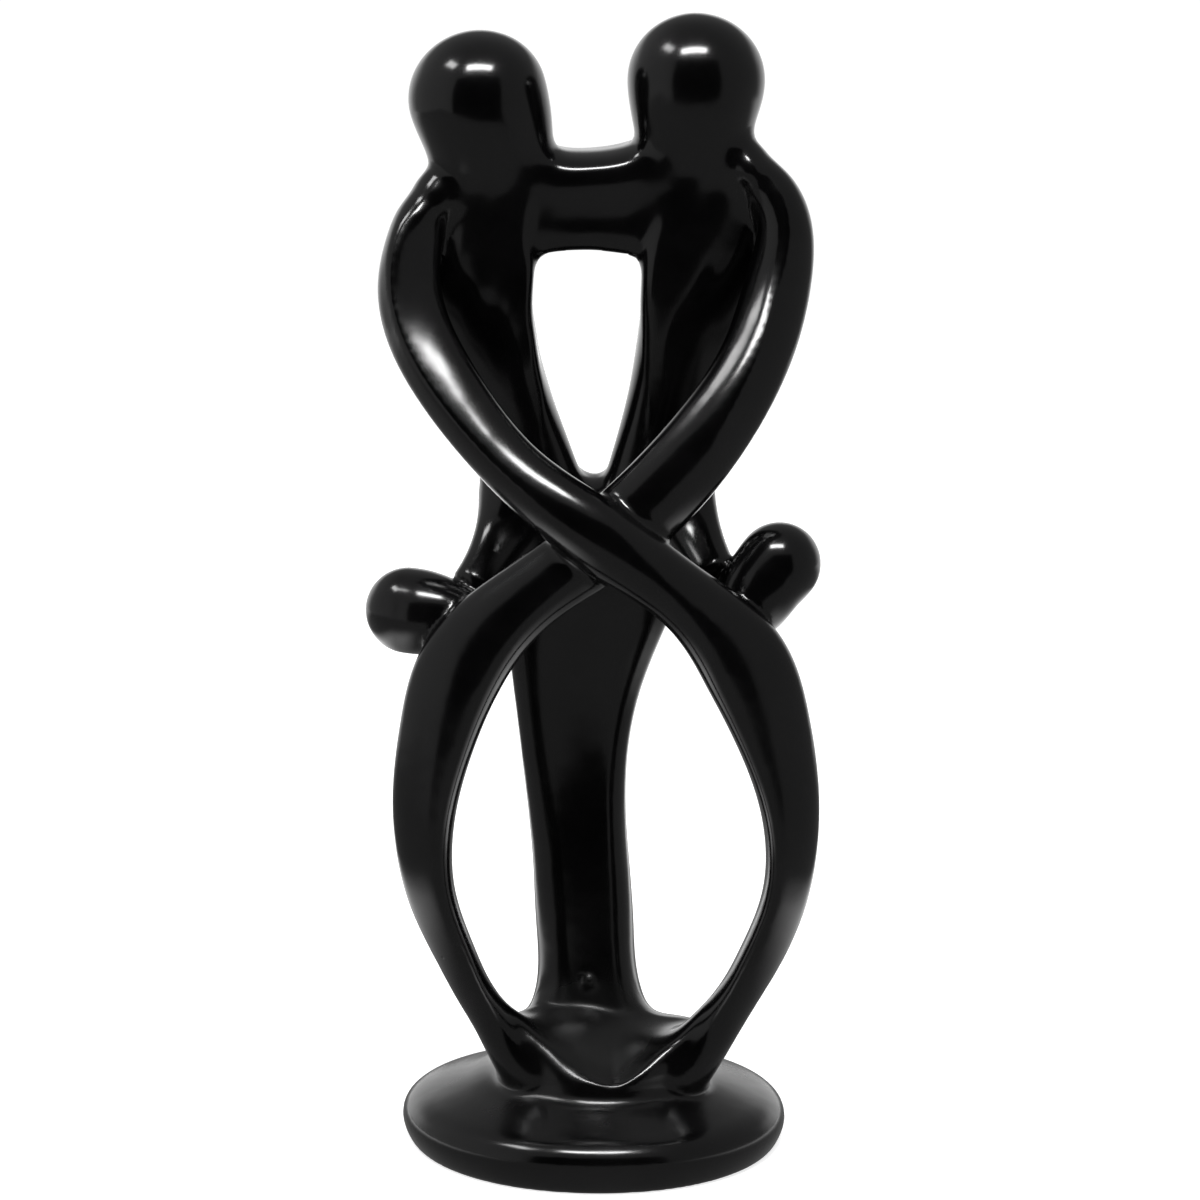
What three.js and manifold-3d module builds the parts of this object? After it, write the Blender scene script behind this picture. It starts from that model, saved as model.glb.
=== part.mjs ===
// Carved soapstone family group: two parents, two children and a round foot, all one piece of stone.
// Millimetres, +Z up, the ground at z = 0, the figures face -Y, left and right as the viewer sees them.
import * as THREE from "three";
import Module from "manifold-3d";

const wasm = await Module();
wasm.setup();

// Overall sizes
const HEIGHT = 254;            // right parent's crown above the table
const LEFT_CROWN = 250.2;      // left parent stands a little lower
const BASE_RADIUS = 43.8;      // round foot at its widest
const BASE_WIDEST_AT = 4.6;    // height of that widest line
const UNDERSIDE_RADIUS = 42.8; // flat resting face
const RIM_TOP = 8;             // where the rim turns into the sloping top

// Facets
const SIDES = 20;              // around a limb
const PITCH = 7;               // along a limb
const CAP_RINGS = 4;           // in each rounded end
const BASE_SIDES = 56;
const MOUND_SIDES = 32;

// The paths of the limbs. Each row is one named place on the carving:
// x, y, z of the middle of the section, then half its width (seen from the front) and half its depth.
const leftArmRightChild = {
  shoulder: [-26.5, 8, 214, 9.2, 9],
  upperArm: [-36.8, 4.5, 206, 7.9, 8],
  elbow: [-40.2, -2, 193, 7, 6.8],
  forearm: [-31, -13, 173.6, 7.1, 6.6],
  wrist: [-15.4, -22, 156.3, 6.7, 6.6],
  crossing: [1.8, -26.5, 143.7, 7.8, 6.8],
  childShoulder: [20.6, -22.8, 129.2, 7.4, 7.8],
  childBack: [32.8, -20.5, 115.4, 9.8, 9],
  ribs: [39, -20, 101, 8.8, 8.8],
  flank: [42.9, -20, 84.8, 7.1, 8.4],
  hip: [41.6, -21, 61.2, 5.4, 7.6],
  knee: [30.8, -19.5, 37.8, 5, 7],
  foot: [17.6, -11.5, 18, 6.8, 7],
};
const rightArmLeftChild = {
  shoulder: [26.5, 8, 219.4, 9.5, 9],
  upperArm: [37.5, 4.5, 210.8, 8.2, 8],
  elbow: [40.9, -1.5, 196.8, 7.1, 6.8],
  forearm: [35.4, -10.5, 181.4, 7.6, 6.6],
  wrist: [25.6, -17.5, 165.6, 8.2, 6.6],
  crossing: [3.6, -20.5, 142.5, 8.6, 6.4],
  childShoulder: [-13.8, -20, 129.7, 7.9, 7.6],
  childBack: [-28.4, -20, 114.4, 9.7, 8.8],
  ribs: [-34, -20, 99.5, 8.7, 8.6],
  flank: [-37.1, -20, 84, 7.3, 8.4],
  hip: [-35.8, -21, 61.4, 5.5, 7.6],
  knee: [-26.7, -19.5, 39.6, 4.9, 7],
  foot: [-13.6, -11.5, 18.6, 6.8, 7],
};
const legs = {
  heel: [-1.4, 12, 14, 18.5, 12],
  ankle: [-1.5, 12, 27, 13.4, 10],
  calf: [-2.3, 12, 47, 11, 8.8],
  knees: [-4.1, 12, 76, 11.1, 8.8],
  thighs: [-3.8, 12, 104, 15, 9.4],
  hips: [-1.2, 11.5, 126, 21, 9.8],
  waist: [0.6, 11, 145, 25, 8.8],
};
const leftTorso = {
  hip: [-11, 11, 134, 12.6, 9],
  waist: [-14.9, 10.5, 152, 11, 9],
  ribs: [-19.6, 9.5, 168.2, 9.2, 8.6],
  chest: [-23.9, 8.5, 187, 10.2, 8.8],
  shoulders: [-24.6, 8, 204, 12.4, 10],
  neck: [-22.7, 7.5, 220, 13.3, 11.4],
  head: [-25.9, 6, 237, 15.2, 14.4],
};
const rightTorso = {
  hip: [11.5, 11, 134, 12.8, 9],
  waist: [15.1, 10.5, 152, 11.7, 9],
  ribs: [17.8, 9.5, 168.2, 9.6, 8.6],
  chest: [21.2, 8.5, 188, 10.8, 8.8],
  shoulders: [23, 8, 206, 12.4, 10],
  neck: [22.4, 7.5, 224, 12.4, 11.2],
  head: [22.5, 6, 239.4, 15, 14.2],
};
const armsBetweenNecks = {
  left: [-17, 9, 213.2, 12.6, 6.6],
  middle: [0, 10, 212.6, 10.8, 5.8],
  right: [17, 9, 213.8, 12.6, 6.6],
};
const leftChildHead = {
  neck: [-33.6, -9.5, 123.6, 7.6, 8.4],
  face: [-37.8, -8.5, 123.8, 9.4, 9.4],
  crown: [-41, -7.5, 124.2, 9.5, 9.2],
};
const rightChildHead = {
  neck: [34.4, -9.5, 126.8, 7.6, 8.4],
  face: [37.9, -8.5, 130.6, 9.3, 9.4],
  crown: [40.5, -7.5, 133.6, 9.4, 9.2],
};
const leftChildArm = {
  shoulder: [-29.4, -9, 126.5, 3.4, 5],
  forearm: [-23.4, 0.5, 136, 4.2, 5.4],
  hand: [-18.8, 8, 148.5, 5.6, 6.4],
};
const rightChildArm = {
  shoulder: [30.5, -9, 130.5, 3.4, 5],
  forearm: [25.2, 0.5, 138.5, 4.2, 5.4],
  hand: [20, 8, 149, 5.6, 6.4],
};

// Level ovals, stacked from the bottom up in the same order of numbers.
const underside = UNDERSIDE_RADIUS;
const roundFoot = [
  [0, 0, 0, underside, underside],
  [0, 0, 1.4, BASE_RADIUS - 0.5, BASE_RADIUS - 0.5],
  [0, 0, BASE_WIDEST_AT, BASE_RADIUS, BASE_RADIUS],
  [0, 0, 6.6, BASE_RADIUS - 0.7, BASE_RADIUS - 0.7],
  [0, 0, RIM_TOP, BASE_RADIUS - 2.9, BASE_RADIUS - 2.9],
  [0, 0, 9.6, 37, 37],
  [0, 0, 11.5, 31, 31],
  [0, 0, 13.6, 26.4, 26.2],
  [0, 0, 15.8, 24.6, 24.4],
];
const mound = [
  [1.8, -1, 9, 24.4, 23],
  [1.8, -1.4, 15.5, 24.4, 23.2],
  [2.2, -2.5, 20, 24.8, 22.2],
  [2.5, -6.5, 24, 25.8, 18],
  [3, -12, 28, 26.6, 12.5],
  [3.6, -16.5, 34, 27.4, 8],
];
const dish = [
  [5, -17, 18.8, 3, 3.5],
  [4.8, -15.5, 20.2, 8, 10.5],
  [4.4, -13, 23, 13.6, 16.5],
  [4, -11, 27, 17.6, 20],
  [3.6, -9.5, 31, 20, 23],
  [3.8, -8, 38, 24, 27],
];

// Cubic spline through the rows, at chord-length knots: returns the row at any length along it.
// The middle line ends straight and the half sizes end level, so that a rounded end runs on smoothly.
function splineThrough(rows) {
  const knots = [0];
  for (let i = 1; i < rows.length; i++) {
    knots.push(knots[i - 1] + Math.hypot(...[0, 1, 2].map((k) => rows[i][k] - rows[i - 1][k])));
  }
  const last = rows.length - 1;
  const bend = rows.map((row) => row.map(() => 0));
  for (let k = 0; k < rows[0].length; k++) {
    const level = k > 2 ? 1 : 0;
    const slope = (i) => (rows[i + 1][k] - rows[i][k]) / (knots[i + 1] - knots[i]);
    const upper = [level / 2];
    const right = [level * 3 * slope(0) / knots[1]];
    for (let i = 1; i < last; i++) {
      const before = knots[i] - knots[i - 1];
      const after = knots[i + 1] - knots[i];
      const pivot = 2 * (before + after) - before * upper[i - 1];
      upper.push(after / pivot);
      right.push((6 * (slope(i) - slope(i - 1)) - before * right[i - 1]) / pivot);
    }
    const end = knots[last] - knots[last - 1];
    bend[last][k] = level * (-6 * slope(last - 1) / end - right[last - 1]) / (2 - upper[last - 1]);
    for (let i = last - 1; i >= 0; i--) bend[i][k] = right[i] - upper[i] * bend[i + 1][k];
  }
  const at = (s) => {
    let i = 0;
    while (i < last - 1 && s > knots[i + 1]) i++;
    const h = knots[i + 1] - knots[i];
    const a = (knots[i + 1] - s) / h;
    const b = 1 - a;
    return rows[i].map((value, k) => a * value + b * rows[i + 1][k]
      + ((a ** 3 - a) * bend[i][k] + (b ** 3 - b) * bend[i + 1][k]) * h * h / 6);
  };
  return { at, length: knots[last] };
}

// Closed skin over a run of rings with the same number of points, with one point closing each end.
function skin(rings, firstPoint, lastPoint) {
  const n = rings[0].length;
  const points = [firstPoint, ...rings.flat(), lastPoint];
  const faces = [];
  for (let j = 0; j < n; j++) {
    const next = (j + 1) % n;
    faces.push([0, 1 + next, 1 + j]);
    for (let i = 0; i < rings.length - 1; i++) {
      const a = 1 + i * n;
      const b = a + n;
      faces.push([a + j, a + next, b + next], [a + j, b + next, b + j]);
    }
    const a = 1 + (rings.length - 1) * n;
    faces.push([a + j, a + next, points.length - 1]);
  }
  let volume = 0;
  for (const [a, b, c] of faces) volume += points[a].dot(points[b].clone().cross(points[c]));
  if (volume < 0) faces.forEach((face) => face.reverse());
  return new wasm.Manifold(new wasm.Mesh({
    numProp: 3,
    vertProperties: new Float32Array(points.flatMap((p) => p.toArray())),
    triVerts: new Uint32Array(faces.flat()),
  }));
}

// Oval section carried along a limb's path, its ends rounded over by firstCap and lastCap millimetres.
// roundness 2 is an ellipse; less draws soft ridges down the front and the edges.
function limb(places, firstCap, lastCap, { roundness = 2, sides = SIDES, pitch = PITCH } = {}) {
  const path = splineThrough(Object.values(places));
  const centre = (s) => new THREE.Vector3(...path.at(s).slice(0, 3));
  const steps = Math.ceil(path.length / pitch);
  const along = (s) => {
    const reach = 0.05;
    const from = Math.max(s - reach, 0);
    const to = Math.min(s + reach, path.length);
    return centre(to).sub(centre(from)).normalize();
  };
  const ring = (s, push, scale) => {
    const forward = along(s);
    const across = new THREE.Vector3().crossVectors(forward, new THREE.Vector3(0, 1, 0)).normalize();
    const deep = new THREE.Vector3().crossVectors(across, forward);
    const [, , , halfWidth, halfDepth] = path.at(s);
    return Array.from({ length: sides }, (_, j) => {
      const turn = 2 * Math.PI * j / sides;
      const c = Math.cos(turn);
      const d = Math.sin(turn);
      const u = Math.sign(c) * Math.abs(c) ** (2 / roundness) * halfWidth * scale;
      const v = Math.sign(d) * Math.abs(d) ** (2 / roundness) * halfDepth * scale;
      return centre(s).addScaledVector(forward, push).addScaledVector(across, u).addScaledVector(deep, v);
    });
  };
  const rings = [];
  for (let i = 1; i <= CAP_RINGS; i++) {
    const turn = 0.5 * Math.PI * i / (CAP_RINGS + 1);
    rings.push(ring(0, -firstCap * Math.cos(turn), Math.sin(turn)));
  }
  for (let i = 0; i <= steps; i++) rings.push(ring(path.length * i / steps, 0, 1));
  for (let i = CAP_RINGS; i >= 1; i--) {
    const turn = 0.5 * Math.PI * i / (CAP_RINGS + 1);
    rings.push(ring(path.length, lastCap * Math.cos(turn), Math.sin(turn)));
  }
  const first = centre(0).addScaledVector(along(0), -firstCap);
  const last = centre(path.length).addScaledVector(along(path.length), lastCap);
  return skin(rings, first, last);
}

// Level ovals joined one above the other, flat at the bottom and at the top.
function stack(rows, sides) {
  const rings = rows.map(([x, y, z, halfWidth, halfDepth]) => Array.from({ length: sides }, (_, j) => {
    const turn = 2 * Math.PI * j / sides;
    return new THREE.Vector3(x + halfWidth * Math.cos(turn), y + halfDepth * Math.sin(turn), z);
  }));
  const middle = ([x, y, z]) => new THREE.Vector3(x, y, z);
  return skin(rings, middle(rows[0]), middle(rows[rows.length - 1]));
}

let stone = stack(roundFoot, BASE_SIDES).add(stack(mound, MOUND_SIDES));
for (const half of [leftArmRightChild, rightArmLeftChild]) {
  stone = stone.add(limb(half, 6, 6, { roundness: 1.9 }));
}
stone = stone.subtract(stack(dish, MOUND_SIDES))
  .add(limb(legs, 3, 5, { roundness: 2.3 }))
  .add(limb(leftTorso, 6, LEFT_CROWN - leftTorso.head[2]))
  .add(limb(rightTorso, 6, HEIGHT - rightTorso.head[2]))
  .add(limb(armsBetweenNecks, 4, 4, { roundness: 2.6 }))
  .add(limb(leftChildHead, 5, 9.6, { sides: 18, pitch: 4 }))
  .add(limb(rightChildHead, 5, 9.8, { sides: 18, pitch: 4 }))
  .add(limb(leftChildArm, 2.5, 4, { sides: 12 }))
  .add(limb(rightChildArm, 2.5, 4, { sides: 12 }));

const { vertProperties, triVerts, numProp } = stone.getMesh();
const geometry = new THREE.BufferGeometry();
const positions = new Float32Array((vertProperties.length / numProp) * 3);
for (let i = 0; i < positions.length / 3; i++) {
  for (let k = 0; k < 3; k++) positions[3 * i + k] = vertProperties[numProp * i + k];
}
geometry.setAttribute("position", new THREE.BufferAttribute(positions, 3));
geometry.setIndex(new THREE.BufferAttribute(new Uint32Array(triVerts), 1));
geometry.computeVertexNormals();

const polishedBlackStone = new THREE.MeshStandardMaterial({ color: 0x121214, roughness: 0.16, metalness: 0 });
const familyGroup = new THREE.Mesh(geometry, polishedBlackStone);
familyGroup.name = "family_group";

const group = new THREE.Group();
group.name = "soapstone_family_sculpture";
group.add(familyGroup);

export default group;
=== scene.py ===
import math

import bpy
import numpy as np
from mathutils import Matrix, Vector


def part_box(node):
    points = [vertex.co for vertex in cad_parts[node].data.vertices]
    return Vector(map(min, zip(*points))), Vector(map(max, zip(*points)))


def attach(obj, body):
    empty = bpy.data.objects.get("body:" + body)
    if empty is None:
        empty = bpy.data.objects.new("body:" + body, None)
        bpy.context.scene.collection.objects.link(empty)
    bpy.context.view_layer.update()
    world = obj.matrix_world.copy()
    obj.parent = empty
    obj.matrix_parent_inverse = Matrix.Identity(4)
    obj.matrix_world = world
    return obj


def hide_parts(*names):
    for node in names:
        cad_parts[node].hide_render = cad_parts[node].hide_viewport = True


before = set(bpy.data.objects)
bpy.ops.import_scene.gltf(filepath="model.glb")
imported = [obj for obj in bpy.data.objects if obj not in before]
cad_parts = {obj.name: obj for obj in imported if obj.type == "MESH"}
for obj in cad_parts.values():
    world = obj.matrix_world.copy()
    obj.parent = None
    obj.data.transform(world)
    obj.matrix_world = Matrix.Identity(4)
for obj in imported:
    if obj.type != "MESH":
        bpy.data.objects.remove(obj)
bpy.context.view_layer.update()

carving_low, carving_high = (np.array(corner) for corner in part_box("family_group"))

# The place where the carving is photographed: a small white cloth tent, open at the front, on a pale table.
# The camera stands 0.9 m off and looks down 12 degrees at the middle of the carving. Its focal length is
# 4035 pixels of a picture that is 1200 pixels wide.
look_down = math.radians(12.0)
camera_distance = 0.9
sensor_width, focal_pixels, picture_pixels = 36.0, 4035.0, 1200.0
middle = np.array([0.0013, 0.0, 0.49 * carving_high[2]])
camera = bpy.data.objects.new("camera", bpy.data.cameras.new("camera"))
camera.data.sensor_width = sensor_width
camera.data.lens = sensor_width * focal_pixels / picture_pixels
camera.data.clip_start = 0.05
camera.data.clip_end = 50.0
camera.location = middle + camera_distance * np.array([0.0, -math.cos(look_down), math.sin(look_down)])
camera.rotation_euler = (math.radians(90.0) - look_down, 0.0, 0.0)
bpy.context.scene.collection.objects.link(camera)
bpy.context.scene.camera = camera
bpy.context.scene.view_settings.view_transform = "Standard"
bpy.context.scene.view_settings.look = "None"

table_front, table_back, table_side = -0.44, 1.4, 0.8
table_mesh = bpy.data.meshes.new("table_top")
table_mesh.from_pydata([(-table_side, table_front, 0), (table_side, table_front, 0),
                        (table_side, table_back, 0), (-table_side, table_back, 0)], [], [(0, 1, 2, 3)])
table_top = bpy.data.objects.new("table_top", table_mesh)
bpy.context.scene.collection.objects.link(table_top)


def wire(tree, source, target):
    """Joins an output socket to an input socket of a node tree."""
    tree.links.new(source, target)


def maths(tree, operation, first, second=0.0, third=0.0):
    """One Math node; each of its values is a number or another node's output."""
    node = tree.nodes.new("ShaderNodeMath")
    node.operation = operation
    for socket, value in zip(node.inputs, (first, second, third)):
        if isinstance(value, (int, float)):
            socket.default_value = value
        else:
            wire(tree, value, socket)
    return node.outputs[0]


def rest_of(tree, share):
    """1 less the share."""
    return maths(tree, "SUBTRACT", 1.0, share)


def soft_step(tree, value, start, end):
    """0 below start, 1 above end, and a smooth S between them."""
    node = tree.nodes.new("ShaderNodeMapRange")
    node.interpolation_type = "SMOOTHSTEP"
    node.inputs["From Min"].default_value = start
    node.inputs["From Max"].default_value = end
    wire(tree, value, node.inputs["Value"])
    return node.outputs["Result"]


# The table is white to the eye. In the polish it shows painted light, an emission and no lamp's: dim in
# front of the tent, and painted pools of light close beside the carving and far behind it, where the lamps
# reach it.
plain_in_polish, more_beside, more_behind = 0.22, 1.7, 0.9
pale_table = bpy.data.materials.new("pale_table")
pale_table.use_nodes = True
tree = pale_table.node_tree
tree.nodes.clear()
spot = tree.nodes.new("ShaderNodeSeparateXYZ")
wire(tree, tree.nodes.new("ShaderNodeTexCoord").outputs["Object"], spot.inputs[0])
sideways = maths(tree, "ABSOLUTE", spot.outputs["X"])
# beside and behind are painted pools of light, which only the polish sees.
beside = maths(tree, "MULTIPLY", soft_step(tree, sideways, 0.06, 0.13),
               rest_of(tree, soft_step(tree, sideways, 0.12, 0.2)))
beside = maths(tree, "MULTIPLY", beside, soft_step(tree, spot.outputs["Y"], -0.16, 0.0))
behind = soft_step(tree, spot.outputs["Y"], 0.2, 0.55)
brighter = maths(tree, "ADD", maths(tree, "MULTIPLY", beside, more_beside),
                 maths(tree, "MULTIPLY", behind, more_behind))
in_polish = maths(tree, "ADD", plain_in_polish, brighter)
matt = tree.nodes.new("ShaderNodeBsdfDiffuse")
matt.inputs["Color"].default_value = (0.8, 0.8, 0.8, 1)
glow = tree.nodes.new("ShaderNodeEmission")
glow.inputs["Strength"].default_value = 0.8
lit = tree.nodes.new("ShaderNodeAddShader")
mirrored = tree.nodes.new("ShaderNodeEmission")
either = tree.nodes.new("ShaderNodeMixShader")
wire(tree, in_polish, mirrored.inputs["Strength"])
wire(tree, matt.outputs[0], lit.inputs[0])
wire(tree, glow.outputs[0], lit.inputs[1])
wire(tree, tree.nodes.new("ShaderNodeLightPath").outputs["Is Glossy Ray"], either.inputs[0])
wire(tree, lit.outputs[0], either.inputs[1])
wire(tree, mirrored.outputs[0], either.inputs[2])
wire(tree, either.outputs[0], tree.nodes.new("ShaderNodeOutputMaterial").inputs["Surface"])
table_mesh.materials.append(pale_table)

# The tent's cloth is dim all round, a little lighter at the left, where the small lamp hangs, and bright
# low behind. Its opening at the front is nearly black. The camera itself sees plain white all round.
dim_cloth, lighter_left, lighter_low_back, darker_opening, seen_white = 0.22, 0.18, 0.9, 0.98, 1.05
tent = bpy.data.worlds.new("cloth_tent")
bpy.context.scene.world = tent
tent.use_nodes = True
tree = tent.node_tree
tree.nodes.clear()
way = tree.nodes.new("ShaderNodeSeparateXYZ")
wire(tree, tree.nodes.new("ShaderNodeTexCoord").outputs["Generated"], way.inputs[0])
leftward = maths(tree, "MULTIPLY", way.outputs["X"], -1.0)
cloth = maths(tree, "MULTIPLY_ADD", soft_step(tree, leftward, 0.2, 0.9), lighter_left, dim_cloth)
low_back = maths(tree, "MULTIPLY", soft_step(tree, way.outputs["Y"], 0.45, 0.85),
                 rest_of(tree, soft_step(tree, way.outputs["Z"], 0.2, 0.45)))
cloth = maths(tree, "MULTIPLY_ADD", low_back, lighter_low_back, cloth)
toward_front = maths(tree, "MAXIMUM", maths(tree, "MULTIPLY", way.outputs["Y"], -1.0), 0.02)
across = maths(tree, "ABSOLUTE", maths(tree, "DIVIDE", way.outputs["X"], toward_front))
height = maths(tree, "DIVIDE", way.outputs["Z"], toward_front)
opening = maths(tree, "MULTIPLY", rest_of(tree, soft_step(tree, across, 0.76, 0.86)),
                rest_of(tree, soft_step(tree, height, 0.8, 0.92)))
opening = maths(tree, "MULTIPLY", opening, maths(tree, "LESS_THAN", way.outputs["Y"], -0.05))
cloth = maths(tree, "MULTIPLY", cloth, rest_of(tree, maths(tree, "MULTIPLY", opening, darker_opening)))
tent_light = tree.nodes.new("ShaderNodeBackground")
tent_light.inputs["Color"].default_value = (1, 1, 1, 1)
wire(tree, cloth, tent_light.inputs["Strength"])
white = tree.nodes.new("ShaderNodeBackground")
white.inputs["Color"].default_value = (1, 1, 1, 1)
white.inputs["Strength"].default_value = seen_white
either = tree.nodes.new("ShaderNodeMixShader")
wire(tree, tree.nodes.new("ShaderNodeLightPath").outputs["Is Camera Ray"], either.inputs[0])
wire(tree, tent_light.outputs[0], either.inputs[1])
wire(tree, white.outputs[0], either.inputs[2])
wire(tree, either.outputs[0], tree.nodes.new("ShaderNodeOutputWorld").inputs["Surface"])


def lamp(name, place, size, watts, faces=(0.0, 0.0, 0.15), glossy=True):
    """A flat lamp of size (width, depth) in metres, turned to shine on the point that it faces."""
    data = bpy.data.lights.new(name, "AREA")
    data.shape = "RECTANGLE"
    data.size, data.size_y = size
    data.energy = watts
    obj = bpy.data.objects.new(name, data)
    obj.location = place
    aim = np.array(faces) - np.array(place)
    aim /= np.linalg.norm(aim)
    obj.rotation_euler = (math.acos(-aim[2]), 0.0, math.atan2(aim[1], aim[0]) - math.radians(90.0))
    obj.visible_camera = False
    obj.visible_glossy = glossy
    bpy.context.scene.collection.objects.link(obj)


# A lamp bar lies along the tent's front top edge, and a small lamp hangs high at its left. The soft light
# through the roof is too even to show in the polish.
lamp("lamp_bar", (-0.012, -0.25, 0.61), (0.29, 0.08), 2.6)
lamp("left_lamp", (-0.555, -0.165, 0.96), (0.28, 0.14), 1.5)
lamp("soft_top", (0.0, 0.0, 1.3), (1.2, 1.2), 7.0, faces=(0.0, 0.0001, 0.0), glossy=False)

# The two long limbs. Each parent's outer arm comes forward and down, crosses the other one at the front,
# and runs on without a break as the body of the child on the far side. All of it is the one block of
# stone, carved to soft-ridged ovals with rasps, so a limb is an oval carried along a smooth path.
#
# Each place on a path is x, y and z of the section's middle in mm, its half width across the limb as seen
# from the front, its half depth, and then up to four numbers, which a plain ellipse leaves out:
# squareness, 2 for an ellipse, more for a squarer oval, less for one whose front comes to a soft ridge;
# lean, how far that ridge is moved sideways, as a share of the half width;
# forward, how far both sides are bent toward the front, as a share of the half depth;
# turn, how far the front face comes forward for each mm sideways.
# Sideways is to the right in a limb whose places run down, to the left in one whose places run up, and
# upward in the bar between the necks.
left_arm_right_child = dict(
    shoulder=(-35.2, 3, 213.6, 4.8, 6, 2, 0), arm_pit=(-37.7, 2, 209.2, 5.6, 6.4, 1.9, -0.15),
    upper_arm=(-39.2, 0, 204.5, 6.2, 6.8, 1.7, -0.45), elbow=(-40.3, -4.1, 195.3, 6.9, 7, 1.35, -0.52),
    forearm=(-31, -14.5, 173.9, 7.1, 7, 1.35, -0.35), wrist=(-15.4, -22.4, 156.3, 6.7, 6.8, 1.55, -0.1),
    crossing=(1.8, -26.5, 143.7, 7.8, 6.8, 1.9, 0),
    child_shoulder=(20.6, -22.8, 129.2, 7.4, 7.8, 1.9, -0.2),
    child_back=(32.8, -20.5, 115.4, 9.8, 9, 1.85, -0.4), ribs=(39, -20, 101, 8.8, 8.8, 1.75, -0.5),
    flank=(43.1, -20, 84.8, 6.9, 8.4, 1.7, -0.5), hip=(42.4, -20.5, 61.2, 5.1, 7.6, 1.7, -0.5),
    knee=(37.1, -18.9, 47, 4.8, 7.1, 1.75, -0.5), ankle=(32.8, -16.9, 38.4, 4.6, 6.5, 1.85, -0.35),
    heel=(28.4, -15, 31, 5.1, 6.2, 2, -0.15), foot=(20.4, -14, 19, 6, 8, 2, 0))
right_arm_left_child = dict(
    shoulder=(34.6, 2.4, 220.4, 4.6, 5.8, 2, 0), arm_pit=(38.8, 2, 215.6, 5.4, 6.4, 1.95, 0),
    upper_arm=(41.7, 0.6, 209.2, 6, 6.8, 1.8, -0.05), elbow=(40.8, -3, 196.8, 7.2, 6.8, 1.6, -0.1),
    forearm=(35.7, -11.5, 181.4, 7.7, 6.8, 1.5, -0.1), wrist=(25.8, -18.2, 165.6, 8.4, 6.8, 1.6, -0.1),
    crossing=(3.6, -20.5, 142.5, 8.6, 6.4, 1.9, 0),
    child_shoulder=(-13.8, -20, 129.7, 7.9, 7.6, 1.9, 0.2),
    child_back=(-28.4, -20, 114.4, 9.7, 8.8, 1.85, 0.4), ribs=(-34, -20, 99.5, 8.7, 8.6, 1.75, 0.5),
    flank=(-37.1, -20, 84, 7.3, 8.4, 1.7, 0.5), hip=(-35.7, -20.5, 61.4, 5.3, 7.6, 1.7, 0.5),
    knee=(-30.8, -18.9, 48, 4.5, 7.1, 1.75, 0.5), ankle=(-27, -16.9, 39.2, 4.2, 6.5, 1.85, 0.35),
    heel=(-23, -15, 32, 4.5, 6.2, 2, 0.15), foot=(-15.2, -14, 20, 6, 8, 2, 0))


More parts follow.
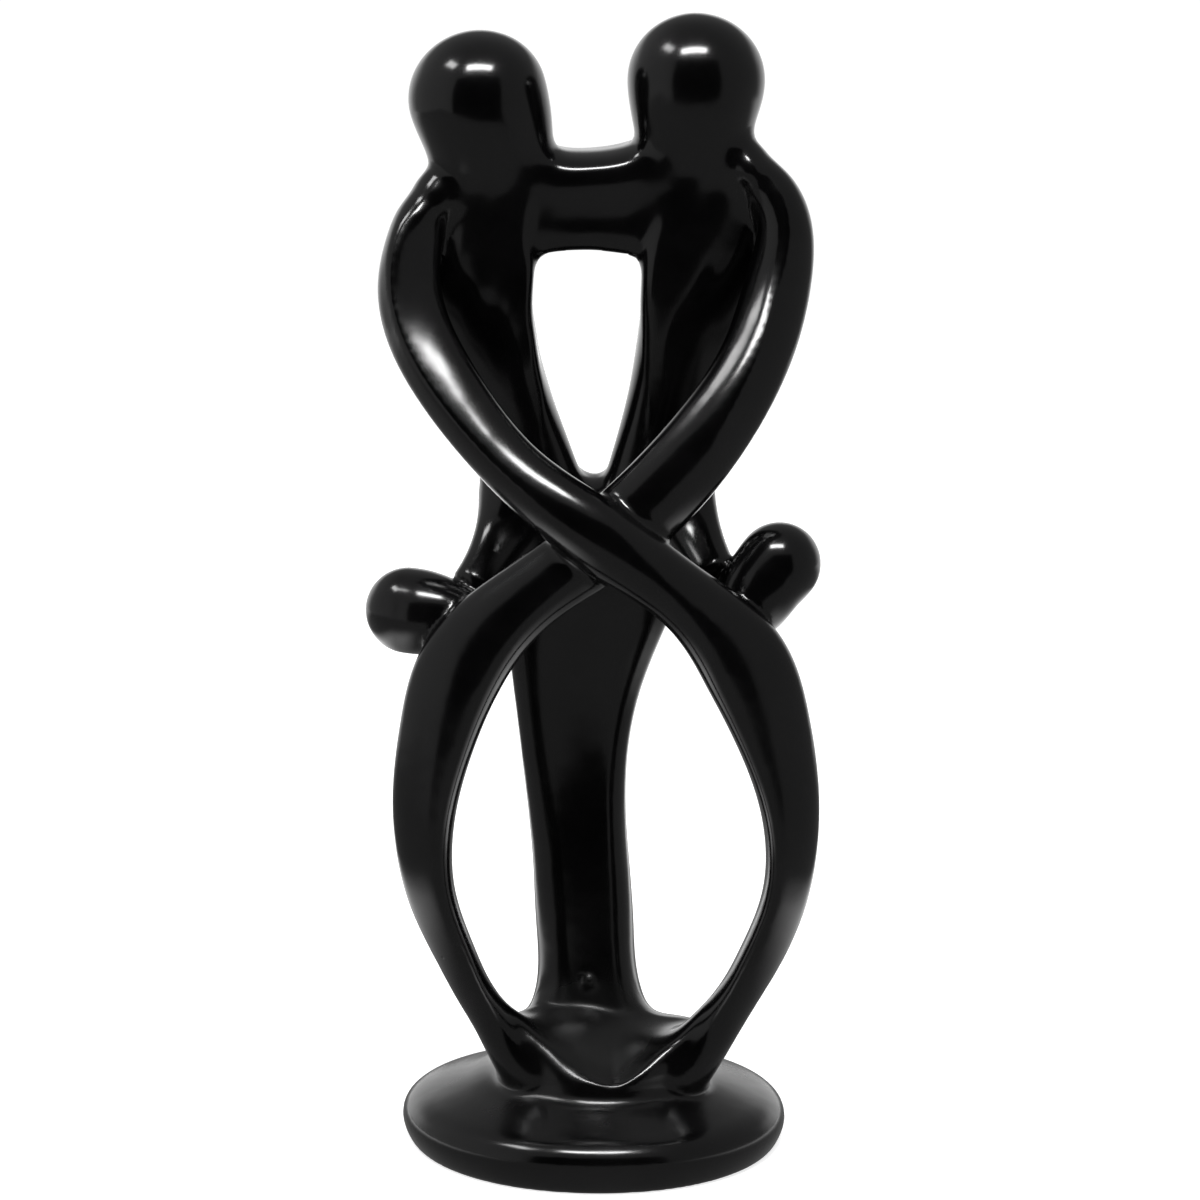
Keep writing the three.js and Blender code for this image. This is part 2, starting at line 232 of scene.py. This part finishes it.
class SmoothPath:
    """A cubic spline through the rows of named places, over the straight lengths from place to place added
    up. Slope and bend run on through every place. At both ends the middle line (x, y, z) has no bend, and
    every size has no slope, so that a rounded end runs on smoothly from it."""

    def __init__(self, places):
        plain_ellipse = (2.0, 0.0, 0.0, 0.0)
        rows = np.array([tuple(row) + plain_ellipse[len(row) - 5:] for row in places.values()], float)
        self.rows = rows
        self.s = np.concatenate([[0.0], np.cumsum(np.linalg.norm(np.diff(rows[:, :3], axis=0), axis=1))])
        self.length = self.s[-1]
        h = np.diff(self.s)
        slope = np.diff(rows, axis=0) / h[:, None]
        # The bends at the places solve one equation for each inner place, which makes the slopes on its
        # two sides equal, and one for each end.
        inner = np.zeros((len(rows), len(rows)))
        k = np.arange(1, len(rows) - 1)
        inner[k, k - 1] = h[:-1]
        inner[k, k] = 2 * (h[:-1] + h[1:])
        inner[k, k + 1] = h[1:]
        right = np.zeros_like(rows)
        right[1:-1] = 6 * np.diff(slope, axis=0)
        straight = inner.copy()
        straight[0, 0] = straight[-1, -1] = 1
        level = inner.copy()
        level[0, :2] = 2 * h[0], h[0]
        level[-1, -2:] = h[-1], 2 * h[-1]
        level_right = right.copy()
        level_right[0], level_right[-1] = 6 * slope[0], -6 * slope[-1]
        self.bend = np.linalg.solve(level, level_right)
        self.bend[:, :3] = np.linalg.solve(straight, right[:, :3])

    def at(self, t, order=0):
        """The row of values at length t, or its first or second derivative. Between two places it is their
        two rows in the shares a and b, plus their bends in the shares a^3 - a and b^3 - b, times a sixth
        of the square of the length between them."""
        i = np.clip(np.searchsorted(self.s, t, side="right") - 1, 0, len(self.s) - 2)
        h = (self.s[i + 1] - self.s[i])[:, None]
        a = (self.s[i + 1] - t)[:, None] / h
        b = 1 - a
        y0, y1, m0, m1 = self.rows[i], self.rows[i + 1], self.bend[i], self.bend[i + 1]
        if order == 0:
            return a * y0 + b * y1 + ((a**3 - a) * m0 + (b**3 - b) * m1) * h * h / 6
        if order == 1:
            return (y1 - y0) / h + (-(3 * a * a - 1) * m0 + (3 * b * b - 1) * m1) * h / 6
        return a * m0 + b * m1

    def nearest(self, points, samples=48):
        """The length along the path of the evenly spaced sample that is nearest to each point, and the
        distance to it. The points are taken in batches, to save memory."""
        at_samples = np.linspace(0, self.length, samples)
        spots = self.at(at_samples)[:, :3]
        t = np.empty(len(points))
        far = np.empty(len(points))
        batch = 30000
        for k in range(0, len(points), batch):
            q = points[k:k + batch]
            squared = (q * q).sum(1)[:, None] - 2 * q @ spots.T + (spots * spots).sum(1)
            best = squared.argmin(1)
            t[k:k + batch] = at_samples[best]
            far[k:k + batch] = np.sqrt(np.maximum(squared[np.arange(len(q)), best], 0))
        return t, far

    def settle(self, points, t):
        """Three Newton steps, of 3 mm at most, that bring t to where the path is square to the line from it
        to the point. The steepness is kept away from 0, where a step would have no end."""
        longest_step, least_steepness = 3, 0.15
        for _ in range(3):
            r = points - self.at(t)[:, :3]
            d1, d2 = self.at(t, 1)[:, :3], self.at(t, 2)[:, :3]
            steepness = np.minimum((r * d2).sum(1) - (d1 * d1).sum(1), -least_steepness)
            step = np.clip((r * d1).sum(1) / steepness, -longest_step, longest_step)
            t = np.clip(t - step, 0, self.length)
        return t


# A distance matters only near the surface, so one over 10 mm is given as 10 mm, which saves time.
far_off = 10.0


class Limb:
    """An oval carried along a smooth path and closed at each end by half an ellipsoid, which is first_cap or
    last_cap mm long."""

    def __init__(self, places, first_cap, last_cap):
        self.path = SmoothPath(places)
        self.caps = first_cap, last_cap
        self.widest = self.path.rows[:, 3:5].max()

    def outside(self, points):
        """How far each point lies outside the limb: its distance from the path less the oval's radius that
        way. With u across and v toward the back, the oval is where |u / half width| and |v / half depth|,
        each to the power of the squareness, add up to 1. Before that, v is moved by forward times the
        square of u and by turn times u, and u by lean times the square of how far forward the point is.
        A squareness under 2 goes back to 2 at the sides and the back."""
        found = np.full(len(points), far_off)
        t, far = self.path.nearest(points)
        close = far < self.widest + max(self.caps) * 0.6 + far_off
        if not close.any():
            return found
        p = points[close]
        t = self.path.settle(p, t[close])
        row = self.path.at(t)
        along = self.path.at(t, 1)[:, :3]
        along /= np.linalg.norm(along, axis=1)[:, None]
        across = np.stack([-along[:, 2], np.zeros(len(t)), along[:, 0]], 1)
        across /= np.linalg.norm(across, axis=1)[:, None]
        deep = np.cross(across, along)
        r = p - row[:, :3]
        u, v, end = (r * across).sum(1), (r * deep).sum(1), (r * along).sum(1)
        half_width, half_depth, squareness, lean, forward, turn = row[:, 3:9].T
        v = v + forward * half_depth * np.minimum((u / half_width)**2, 1.3)
        v = v + turn * u * np.clip(-v / half_depth, 0, 1)
        front = np.clip(-v / half_depth, 0, 1.3)
        squareness = squareness + np.maximum(2 - squareness, 0) * (1 - np.minimum(front, 1))**2
        cap = np.where(t < self.path.length / 2, *self.caps)
        share = (np.abs(u / half_width - lean * front**2)**squareness
                 + np.abs(v / half_depth)**squareness)**(1 / squareness)
        share = np.sqrt(share**2 + (end / cap)**2) + 1e-9
        size = np.sqrt(u**2 + v**2 + end**2)
        found[close] = np.minimum(size - size / share, far_off)
        return found


def joined(a, b, fillet):
    """The two solids as one, with a hollow fillet: the smaller distance, less a sixth of the fillet times
    the cube of a share that is 1 where the two distances are equal and 0 where they are a fillet apart."""
    h = np.maximum(fillet - np.abs(a - b), 0) / fillet
    return np.minimum(a, b) - h**3 * fillet / 6


def cut(a, b, rounding):
    """Solid a less solid b, with the edge between them rounded: all that is outside a is joined with b, and
    the result is turned inside out."""
    return -joined(-a, b, rounding)


long_limbs = Limb(left_arm_right_child, 6, 6), Limb(right_arm_left_child, 6, 6)

# The round foot: the block's lower end, shaped to a disc with a rolled rim and a low domed top that sweeps
# up to the children's feet, and rubbed flat below. It is a profile of radius, 0 and height in mm, carried
# round the middle.
foot_profile = dict(
    under=(41, 0, -1), edge=(42.4, 0, 0.8), wall=(43.4, 0, 2.8), widest=(43.8, 0, 4.8), rim=(43.1, 0, 7.2),
    shoulder=(40.9, 0, 9.3), slope=(37.4, 0, 10.8), low_top=(33.2, 0, 12.4), top=(29.2, 0, 13.9),
    sweep=(26.2, 0, 15.3), inside=(21, 0, 17.2), middle=(0, 0, 13))
unused_sizes = (1, 1)
foot_edge = SmoothPath({name: place + unused_sizes for name, place in foot_profile.items()})


def round_foot(points):
    """How far each point lies outside the foot: its distance from the profile, square to it, with what is
    below the table cut away. Carved by eye, the disc is a little square: the radius is the sum of x and y
    to the power 2.07, to the power 1 / 2.07. It counts up to 1.5 % less toward the front right and the back
    left, where the foot is longest. From 8 mm up, the foot rises toward the front by one part in 25."""
    clear_of_foot, roundness = 32, 2.07
    x, y, z = points.T
    radius = (np.abs(x)**roundness + np.abs(y)**roundness)**(1 / roundness) + 1e-9
    radius = radius * (1 + 0.03 * x * y / radius**2)
    turned = np.stack([radius, np.zeros(len(points)), z + 0.04 * y * np.clip(z / 8, 0, 1)], 1)
    found = np.full(len(points), far_off)
    close = z < clear_of_foot
    q = turned[close]
    t = foot_edge.settle(q, foot_edge.nearest(q, samples=96)[0])
    along = foot_edge.at(t, 1)
    r = q - foot_edge.at(t)[:, :3]
    beside = (r[:, 0] * along[:, 2] - r[:, 2] * along[:, 0]) / np.hypot(along[:, 0], along[:, 2])
    found[close] = np.clip(cut(beside, q[:, 2], 1.0), -far_off, far_off)
    return found


# The hollow between the children's feet: their shins join in one mound on the foot, whose top is a ramp. It
# starts at a V-shaped rim in front, rises to a saddle at each side of the parents' legs and falls away
# behind, all worked with a round file. The mound is level ovals one above the other: x, y and z of the
# middle, half width and half depth. The rim is x and z, seen from the front.
mound_ovals = np.array([
    (1.8, -2, 9, 24.2, 24.4), (1.8, -2.4, 15.5, 24.2, 24.2), (2.2, -3, 20, 24.4, 23.4),
    (2.5, -4, 24, 24.2, 21.8), (3, -7, 28, 24, 18), (3.6, -10, 34, 22.5, 14), (3.6, -12, 40, 21, 12)])
v_rim = np.array([(-26, 41), (-20, 33), (-12, 26.2), (-5, 22.2), (1, 20.6), (5, 20.1), (8.5, 21.4),
                  (13.3, 24.3), (19.8, 28.5), (26, 35)])


def stacked(ovals, points, rounding):
    """Level ovals one above the other: the distance from the middle less the oval's radius that way, cut off
    flat at the lowest and the highest oval."""
    z = np.clip(points[:, 2], ovals[0, 2], ovals[-1, 2])
    x, y, half_width, half_depth = (np.interp(z, ovals[:, 2], ovals[:, k]) for k in (0, 1, 3, 4))
    u, v = points[:, 0] - x, points[:, 1] - y
    size = np.hypot(u, v)
    around = size - size / (np.hypot(u / half_width, v / half_depth) + 1e-9)
    over = np.maximum(ovals[0, 2] - points[:, 2], points[:, 2] - ovals[-1, 2])
    return cut(around, -over, rounding)


def smooth_share(value, start, end):
    """0 below start, 1 above end, and a smooth S between them."""
    share = np.clip((value - start) / (end - start), 0, 1)
    return share * share * (3 - 2 * share)


def above_ramp(points):
    """Height above the ramp, less a tenth because it slopes. The ramp's middle line climbs evenly from the
    V's point to the parents' feet, with a broad low swelling on the way, and falls away behind as the
    square of the distance. Its sides stand above that line as the V rim does at the front, and come down
    to it by a smooth S at the saddles."""
    x, y, z = points.T
    rim = sum(np.interp(x + shift, v_rim[:, 0], v_rim[:, 1]) for shift in (-1.2, 0, 1.2)) / 3
    middle_line = 19.6 + 0.31 * (np.minimum(y, 0) + 27) - 0.03 * np.maximum(y, 0)**2 - 0.05 * (x + 2)
    middle_line = middle_line + 3 * np.exp(-((x + 1) / 10)**2) * smooth_share(y, -25, -8)
    sides = (np.minimum(rim, 34.0) - 20.4) * (1 - smooth_share(y, -22, 2))
    return (z - middle_line - sides) * 0.9


# The parents' legs stand behind as one column that flares at the foot and widens to the hips. There it
# parts into two slim torsos that lean away from each other and end in smooth bulb heads without faces.
# They are left on the block as it is carved away round them.
legs = Limb(dict(
    heel=(-1.2, 10, 14, 18.8, 15.4, 2.2, 0, 0.2), ankle=(-1.2, 11, 27, 13.6, 13.9, 2.1, -0.1, 0.2),
    calf=(-2, 12, 47, 11.2, 11.6, 2, -0.12, 0.2), shin=(-2.9, 12.9, 62, 11, 10.6, 2, -0.15, 0.2),
    knees=(-3.9, 13.4, 76, 11.3, 9.1, 2, -0.15, 0.2), thighs=(-3.7, 13.6, 104, 15, 8.6, 2.1, 0, 0.25),
    hips=(-1.2, 12.4, 126, 21, 9, 2.4, 0, 0.1), waist=(0.6, 11, 145, 25, 8.8, 2.4, 0)), 3, 5)
left_parent = Limb(dict(
    hip=(-11, 11, 134, 12.6, 9, 2.2, 0, 0.1), waist=(-14.4, 10.6, 152, 10.7, 8.6, 2.2, 0, 0.1),
    ribs=(-19.6, 9.9, 168.2, 10.2, 8.4, 2.4, -0.1, 0, -0.3),
    chest=(-25.6, 8.9, 187, 12.4, 7.9, 2.6, -0.3, 0, -0.38),
    shoulders=(-26.5, 8.2, 204, 13.9, 9, 2.5, -0.2, 0, -0.2),
    neck=(-22.5, 7.5, 220, 13.2, 11.4, 2.2, 0, 0.1), head=(-25.4, 6, 235.7, 15.3, 14.4)), 6, 14.2)
right_parent = Limb(dict(
    hip=(11.5, 11, 134, 12.8, 9, 2.2, 0, 0.1), waist=(15.1, 10.6, 152, 11.6, 8.6, 2.2, 0, 0.1),
    ribs=(18.5, 9.9, 168.2, 10.8, 8.4, 2.4, 0, 0, 0.15),
    chest=(23.2, 8.9, 188, 13.1, 7.9, 2.5, 0.15, 0, 0.33),
    shoulders=(25.8, 8.2, 206, 15.2, 9.2, 2.5, 0.1, 0, 0.15),
    neck=(22.5, 7.5, 224, 12.4, 11.6, 2.2, 0, 0.1), head=(22.6, 6, 239.1, 15.1, 14.2)), 6, 14.6)

# The parents' inner arms lie on each other's shoulders as one bar between the necks, of the same stone and
# filed squarer than the other limbs. Its front face slopes, and its lower edge is a soft roll.
bar = Limb(dict(
    left=(-18, 8.5, 215.5, 12, 9.4, 4, -0.3, 0, 0.28),
    left_end=(-9, 8.5, 214.3, 10.1, 9.4, 6, -0.4, 0, 0.28),
    middle=(0, 8.5, 214.2, 9.5, 9.4, 7, -0.4, 0, 0.28),
    right_end=(8, 8.5, 214.5, 10.5, 9.4, 7, -0.4, 0, 0.28),
    right=(17, 8.5, 215.5, 12, 9.4, 4, -0.3, 0, 0.28)), 4, 4)
roll_height, roll_half, roll_swell = 205.5, 3, 0.5


def bar_outside(points):
    """How far each point lies outside the bar, less the roll's swelling, a bell curve of the height."""
    return bar.outside(points) - roll_swell * np.exp(-((points[:, 2] - roll_height) / roll_half)**2)


# The children, carved from the same stone: egg-shaped heads outside and behind their bodies, and from each
# shoulder a thin arm that reaches back to the parents' hips.
left_child_head = Limb(dict(
    nape=(-27, -11, 122, 6.5, 7), neck=(-33.2, -9.6, 123.2, 8.3, 8.6),
    face=(-37.8, -8.5, 123.4, 9.4, 9.4), crown=(-41, -7.5, 123.6, 9.5, 9.2)), 5, 9.6)
right_child_head = Limb(dict(
    nape=(31.2, -11, 121.6, 7, 8), neck=(34.7, -9.5, 125.6, 8.3, 8.6),
    face=(38.1, -8.5, 130.4, 9, 9.2), crown=(41, -7.5, 133.8, 9.3, 9.2)), 5, 9.6)
left_child_arm = Limb(dict(
    hip=(-16.5, 9, 151, 8, 7.5), forearm=(-17.9, 4.5, 140.5, 8.2, 5.6),
    shoulder=(-25.2, -5.5, 128, 6.6, 5)), 4, 3)
right_child_arm = Limb(dict(
    hip=(18.1, 9, 151, 8, 7.5), forearm=(20, 4.5, 142, 8, 5.6),
    shoulder=(25.6, -5.5, 131, 6.6, 5)), 4, 3)

# The whole carving is one block, and the carver works every place where limbs meet to a hollow fillet, wide
# at the hips and shoulders and tight where the arms cross. The torsos keep the unevenness of hand rasping.
# Three small swellings are left on it: their place, how far they stand out and the radius they fade over.
swellings = dict(right_shoulder=((34.5, -4, 220.2), 0.8, 2.6), left_shoulder=((-37.4, -4, 211), 0.4, 3.5),
                 spot_on_the_legs=((-1.2, -2, 36.2), 1.4, 1.6))


def hand_work(points):
    """The unevenness that hand rasping leaves, in mm: the sum of slow sine waves in chance directions, from
    6.5 to 19 mm long, each with a slope of about one part in twenty."""
    chance = np.random.default_rng(5)
    total = np.zeros(len(points))
    for length in (6.5, 8, 10, 12, 15, 19):
        direction = chance.normal(size=3)
        waves = direction * 2 * math.pi / length / np.linalg.norm(direction)
        total += 0.008 * length * np.sin(points @ waves + chance.uniform(0, 6.3))
    return total


def carved_stone(points):
    """How far each point lies outside the whole carving: every limb joined to the next with its own fillet,
    then the children's heads. Shares by height and side blend one fillet into another."""
    x, y, z = points.T
    feet = z < 46
    low = points[feet]
    front = joined(long_limbs[0].outside(points), long_limbs[1].outside(points), 3.4)
    soft_edge = 1.0 + 5 * smooth_share(np.abs(low[:, 0] - 5), 4, 12)
    mound = cut(stacked(mound_ovals, low, 1.0), -above_ramp(low), soft_edge)
    front[feet] = joined(round_foot(low), joined(front[feet], mound, 5.0), 4.0)

    parents = joined(left_parent.outside(points), right_parent.outside(points), 3.0)
    parents = joined(parents, legs.outside(points), 5 + 5 * smooth_share(y, 10, 16))
    parents = joined(parents, bar_outside(points), 7 - 2.5 * smooth_share(z, 208, 216))
    child_arms = joined(left_child_arm.outside(points), right_child_arm.outside(points), 1.0)
    parents = joined(parents, child_arms, 5.0)
    torsos = smooth_share(z, 160, 190) * (1 - smooth_share(z, 218, 228)) * smooth_share(np.abs(x), 5, 14)
    parents = parents + hand_work(points) * (0.1 + 1.2 * torsos)

    shoulders = smooth_share(z, 204, 213)
    beside_legs = smooth_share(np.abs(x + 1), 7, 14)
    whole = joined(front, parents, np.where(feet, 1.8 + 3.7 * beside_legs, 1.8 + 5.2 * shoulders))
    for spot, height, width in swellings.values():
        whole = whole - height * np.exp(-((points - np.array(spot))**2).sum(1) / width**2)
    heads = np.minimum(left_child_head.outside(points), right_child_head.outside(points))
    return joined(whole, heads, 1.5)


# The skin of the stone. The limbs run into each other with worked fillets that separate surfaces can't
# show, so the whole is one closed skin, found on a grid of cells where the distance to the carving is 0.
# The block below holds the whole carving, in mm.
block_low, block_high = np.array([-53.0, -46.0, -1.5]), np.array([53.0, 46.0, 256.5])
cell = 0.97


def corners_of(cells, across=1):
    """The corners of each cell of a grid, as whole-number places. A cell that is split into some smaller
    ones across has the corners of those as well."""
    o = np.arange(across + 1)
    step = np.stack(np.meshgrid(o, o, o, indexing="ij"), -1).reshape(-1, 3)
    return cells[:, None, :] * across + step[None]


def grid_near_surface(outside, low, high, cell):
    """The distances at the corners of a grid of cells, worked out only near the surface and not a number
    elsewhere. Big cells, four small ones across, are worked out first. A big cell is near the surface if
    its corners lie on both sides of it, or if one of them is within about its own width of it."""
    coarse = 4
    blocks = np.ceil((high - low) / cell / coarse).astype(int)
    wide = np.stack(np.meshgrid(*[np.arange(n + 1) for n in blocks], indexing="ij"), -1)
    value = outside(low + cell * coarse * wide.reshape(-1, 3)).reshape(wide.shape[:3])
    every = np.argwhere(np.ones(blocks, bool))
    at_corner = value[tuple(corners_of(every).reshape(-1, 3).T)].reshape(-1, 8)
    close = np.abs(at_corner).min(1) < cell * coarse * 1.05
    crossed = np.sign(at_corner).min(1) != np.sign(at_corner).max(1)
    size = tuple(blocks * coarse + 1)
    corners = corners_of(every[close | crossed], coarse).reshape(-1, 3)
    flat = np.unique(np.ravel_multi_index(corners.T, size))
    grid = np.full(size, np.nan)
    grid.ravel()[flat] = outside(low + cell * np.stack(np.unravel_index(flat, size), -1))
    return grid


def net_over(grid, low, cell):
    """Closed quads over the surface where the grid is 0. Each cell that the surface crosses gets one point,
    the mean of the crossings of its edges. Each grid edge that it crosses gets one quad, of the points of
    the four cells round that edge."""
    slices = [tuple(slice(k, n - 1 + k) for k, n in zip(corner, grid.shape))
              for corner in np.ndindex(2, 2, 2)]
    inside = sum((grid[s] < 0).astype(np.int8) for s in slices)
    crossed = (inside > 0) & (inside < 8) & ~np.isnan(sum(grid[s] for s in slices))
    cells = np.argwhere(crossed)
    number = np.full(crossed.shape, -1)
    number[crossed] = np.arange(len(cells))
    total, count = np.zeros((len(cells), 3)), np.zeros(len(cells))
    quads = []
    for axis in range(3):
        b, c = (axis + 1) % 3, (axis + 2) % 3
        for at_b, at_c in ((0, 0), (1, 0), (0, 1), (1, 1)):
            start = np.zeros(3, int)
            start[b], start[c] = at_b, at_c
            end = start.copy()
            end[axis] = 1
            v0, v1 = grid[tuple((cells + start).T)], grid[tuple((cells + end).T)]
            hit = (v0 < 0) != (v1 < 0)
            share = np.where(hit, v0 / np.where(hit, v0 - v1, 1), 0)
            total += np.where(hit[:, None], cells + start + share[:, None] * (end - start), 0)
            count += hit
        first, second = [slice(None)] * 3, [slice(None)] * 3
        first[axis], second[axis] = slice(0, -1), slice(1, None)
        v0, v1 = grid[tuple(first)], grid[tuple(second)]
        edge = np.argwhere(((v0 < 0) != (v1 < 0)) & ~np.isnan(v0) & ~np.isnan(v1))
        ring = []
        for back_b, back_c in ((0, 0), (1, 0), (1, 1), (0, 1)):
            round_edge = edge.copy()
            round_edge[:, b] -= back_b
            round_edge[:, c] -= back_c
            ring.append(number[tuple(round_edge.T)])
        ring = np.stack(ring, 1)
        faces_back = v0[tuple(edge.T)] >= 0
        ring[faces_back] = ring[faces_back][:, ::-1]
        quads.append(ring)
    quads = np.concatenate(quads)
    return low + cell * total / count[:, None], quads[(quads >= 0).all(1)]


def outward(points, quads):
    """The mean direction of the quads round each point, from the cross product of each quad's diagonals."""
    face = np.cross(points[quads[:, 2]] - points[quads[:, 0]], points[quads[:, 3]] - points[quads[:, 1]])
    total = np.stack([sum(np.bincount(quads[:, j], face[:, k], len(points)) for j in range(4))
                      for k in range(3)], 1)
    return total / (np.linalg.norm(total, axis=1)[:, None] + 1e-12)


def on_surface(outside, points, quads):
    """One Newton step to the surface: each point moves out or in by its distance over the slope of the
    distance that way, by 1 mm at most."""
    probe, least_slope = 0.05, 0.3
    normal = outward(points, quads)
    here = outside(points)
    slope = (outside(points + probe * normal) - here) / probe
    return points - np.clip(here / np.maximum(slope, least_slope), -1, 1)[:, None] * normal


def evened_out(outside, points, quads):
    """Twice, the points are put on the surface and then each moves six tenths of the way to the mean of its
    neighbours. Two last steps bring them onto the surface again."""
    edges = np.concatenate([quads[:, [0, 1]], quads[:, [1, 2]], quads[:, [2, 3]], quads[:, [3, 0]]])
    start, end = edges.T
    neighbours = np.bincount(start, minlength=len(points)) + np.bincount(end, minlength=len(points))
    for _ in range(2):
        points = on_surface(outside, points, quads)
        total = np.stack([np.bincount(start, points[end, k], len(points))
                          + np.bincount(end, points[start, k], len(points)) for k in range(3)], 1)
        points = 0.4 * points + 0.6 * total / neighbours[:, None]
    for _ in range(2):
        points = on_surface(outside, points, quads)
    return points


grid = grid_near_surface(carved_stone, block_low, block_high, cell)
points, quads = net_over(grid, block_low, cell)
points = evened_out(carved_stone, points, quads)
# From mm to metres, so that the skin's box is the solid's box.
points = carving_low + (points - points.min(0)) / np.ptp(points, axis=0) * (carving_high - carving_low)

stone_mesh = bpy.data.meshes.new("family_carving")
stone_mesh.vertices.add(len(points))
stone_mesh.vertices.foreach_set("co", points.astype(np.float32).ravel())
stone_mesh.loops.add(quads.size)
stone_mesh.loops.foreach_set("vertex_index", quads.astype(np.int32).ravel())
stone_mesh.polygons.add(len(quads))
stone_mesh.polygons.foreach_set("loop_start", np.arange(0, quads.size, 4, dtype=np.int32))
stone_mesh.update(calc_edges=True)
stone_mesh.shade_smooth()
family_carving = bpy.data.objects.new("family_carving", stone_mesh)
bpy.context.scene.collection.objects.link(family_carving)

# The finish: black soapstone, rubbed smooth and waxed to a polish, with faint cloudy patches in the stone,
# smears in the wax and a few tiny pits. The cloth doesn't reach into the hollow between the feet or round
# the foot's inner top, so they are duller.
dark_stone, grey_patch = (0.0006, 0.0006, 0.0007, 1), (0.0018, 0.0017, 0.0019, 1)
polished, smeared, dull_places = 0.15, 0.05, 0.09
black_stone = bpy.data.materials.new("black_soapstone")
black_stone.use_nodes = True
tree = black_stone.node_tree
tree.nodes.clear()
polish = tree.nodes.new("ShaderNodeBsdfPrincipled")
polish.inputs["IOR"].default_value = 1.52
wire(tree, polish.outputs[0], tree.nodes.new("ShaderNodeOutputMaterial").inputs["Surface"])
place = tree.nodes.new("ShaderNodeTexCoord").outputs["Object"]


def cloud(tree, place, scale, detail, roughness=0.5):
    """Noise whose patches are about 1 / scale metres across."""
    node = tree.nodes.new("ShaderNodeTexNoise")
    node.inputs["Scale"].default_value = scale
    node.inputs["Detail"].default_value = detail
    node.inputs["Roughness"].default_value = roughness
    wire(tree, place, node.inputs["Vector"])
    return node.outputs["Fac"]


patches = tree.nodes.new("ShaderNodeMix")
patches.data_type = "RGBA"
colour_a, colour_b = patches.inputs[6], patches.inputs[7]
colour_a.default_value, colour_b.default_value = dark_stone, grey_patch
wire(tree, soft_step(tree, cloud(tree, place, 45.0, 4.0, 0.6), 0.35, 0.7), patches.inputs["Factor"])
wire(tree, patches.outputs[2], polish.inputs["Base Color"])

smears = soft_step(tree, cloud(tree, place, 70.0, 5.0, 0.65), 0.4, 0.75)
from_hollow = tree.nodes.new("ShaderNodeVectorMath")
from_hollow.operation = "DISTANCE"
from_hollow.inputs[1].default_value = (-0.001, -0.01, 0.026)
wire(tree, place, from_hollow.inputs[0])
stone_spot = tree.nodes.new("ShaderNodeSeparateXYZ")
wire(tree, place, stone_spot.inputs[0])
sideways, backward, upward = stone_spot.outputs
in_hollow = rest_of(tree, soft_step(tree, from_hollow.outputs["Value"], 0.008, 0.021))
in_hollow = maths(tree, "MULTIPLY", in_hollow, rest_of(tree, soft_step(tree, upward, 0.034, 0.048)))
in_hollow = maths(tree, "MULTIPLY", in_hollow, 2.4)
from_middle = maths(tree, "SQRT", maths(tree, "MULTIPLY_ADD", sideways, sideways,
                                        maths(tree, "MULTIPLY", backward, backward)))
on_foot = rest_of(tree, soft_step(tree, upward, 0.012, 0.024))
on_foot = maths(tree, "MULTIPLY", on_foot, rest_of(tree, soft_step(tree, from_middle, 0.034, 0.043)))
dull = maths(tree, "MAXIMUM", on_foot, in_hollow)
wax = maths(tree, "MULTIPLY_ADD", smears, smeared, polished)
wax = maths(tree, "MULTIPLY_ADD", dull, dull_places, wax)
wire(tree, wax, polish.inputs["Roughness"])

pits = tree.nodes.new("ShaderNodeTexVoronoi")
pits.inputs["Scale"].default_value = 120.0
wire(tree, place, pits.inputs["Vector"])
chance_of_pit = tree.nodes.new("ShaderNodeSeparateColor")
wire(tree, pits.outputs["Color"], chance_of_pit.inputs[0])
in_pit = rest_of(tree, soft_step(tree, pits.outputs["Distance"], 0.02, 0.06))
in_pit = maths(tree, "MULTIPLY", in_pit, maths(tree, "GREATER_THAN", chance_of_pit.outputs[0], 0.93))
relief = maths(tree, "MULTIPLY_ADD", cloud(tree, place, 75.0, 2.0), 0.5,
               maths(tree, "MULTIPLY", in_pit, -0.15))
bump = tree.nodes.new("ShaderNodeBump")
bump.inputs["Strength"].default_value = 1.0
bump.inputs["Distance"].default_value = 0.0003
wire(tree, relief, bump.inputs["Height"])
wire(tree, bump.outputs[0], polish.inputs["Normal"])
stone_mesh.materials.append(black_stone)

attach(family_carving, "root")
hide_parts("family_group")
